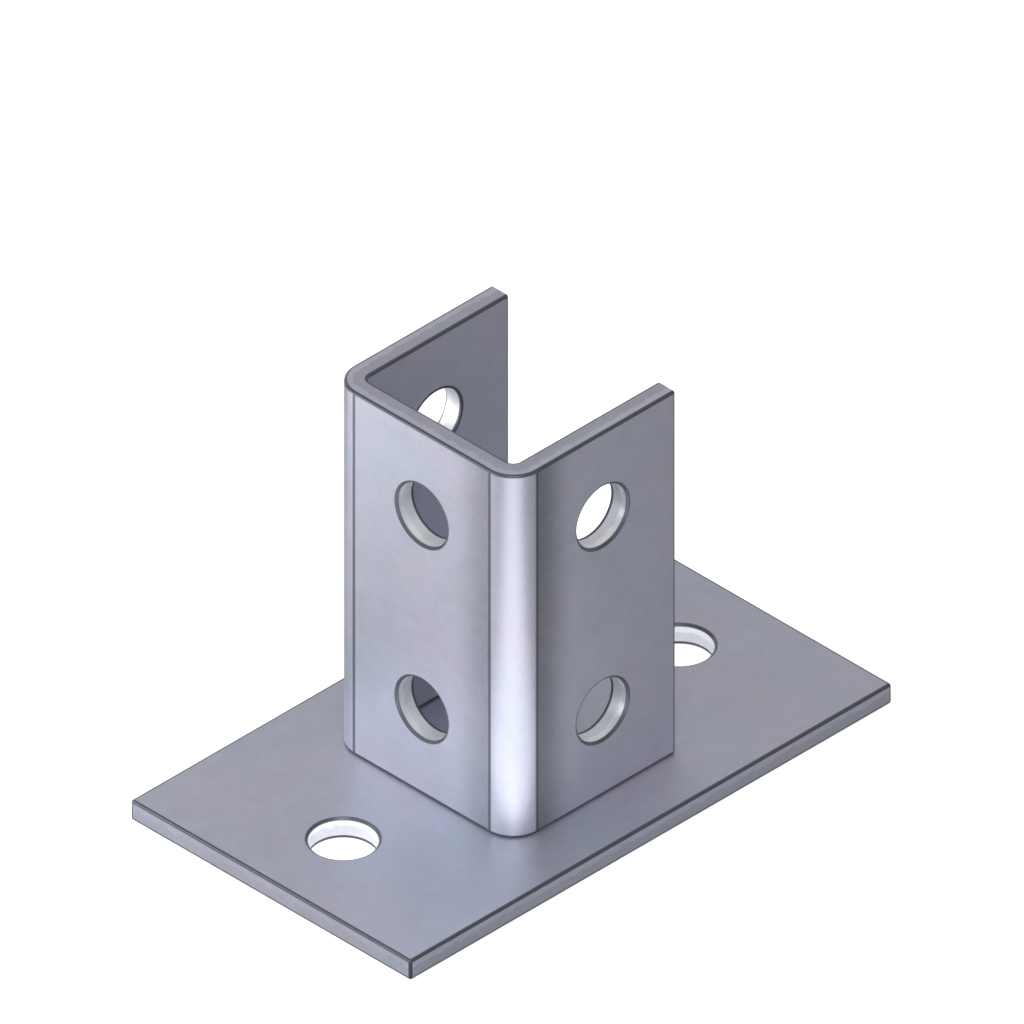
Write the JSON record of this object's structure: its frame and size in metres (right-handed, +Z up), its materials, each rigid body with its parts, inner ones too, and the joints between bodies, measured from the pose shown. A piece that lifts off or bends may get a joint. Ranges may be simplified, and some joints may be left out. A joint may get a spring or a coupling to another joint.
{
  "type": "strut post base",
  "caption": "Floor-fixed post base: a flat drilled plate with a folded U-shaped socket that holds and bolts a square strut post upright.",
  "frame": {"origin": "centre of the plate's underside", "axes": "+X along the plate towards the socket's open side, +Y across it, +Z up out of the floor"},
  "size_m": [0.1366, 0.0794, 0.0937],
  "materials": {
    "zinc_plated_steel": "satin zinc plating",
    "plated_weld": "satin zinc plating over a rippled weld bead"
  },
  "bodies": {
    "root": {"base_plate": "zinc_plated_steel", "channel_socket": "zinc_plated_steel", "web_weld": "plated_weld", "near_flange_weld": "plated_weld", "far_flange_weld": "plated_weld"}
  },
  "joints": []
}
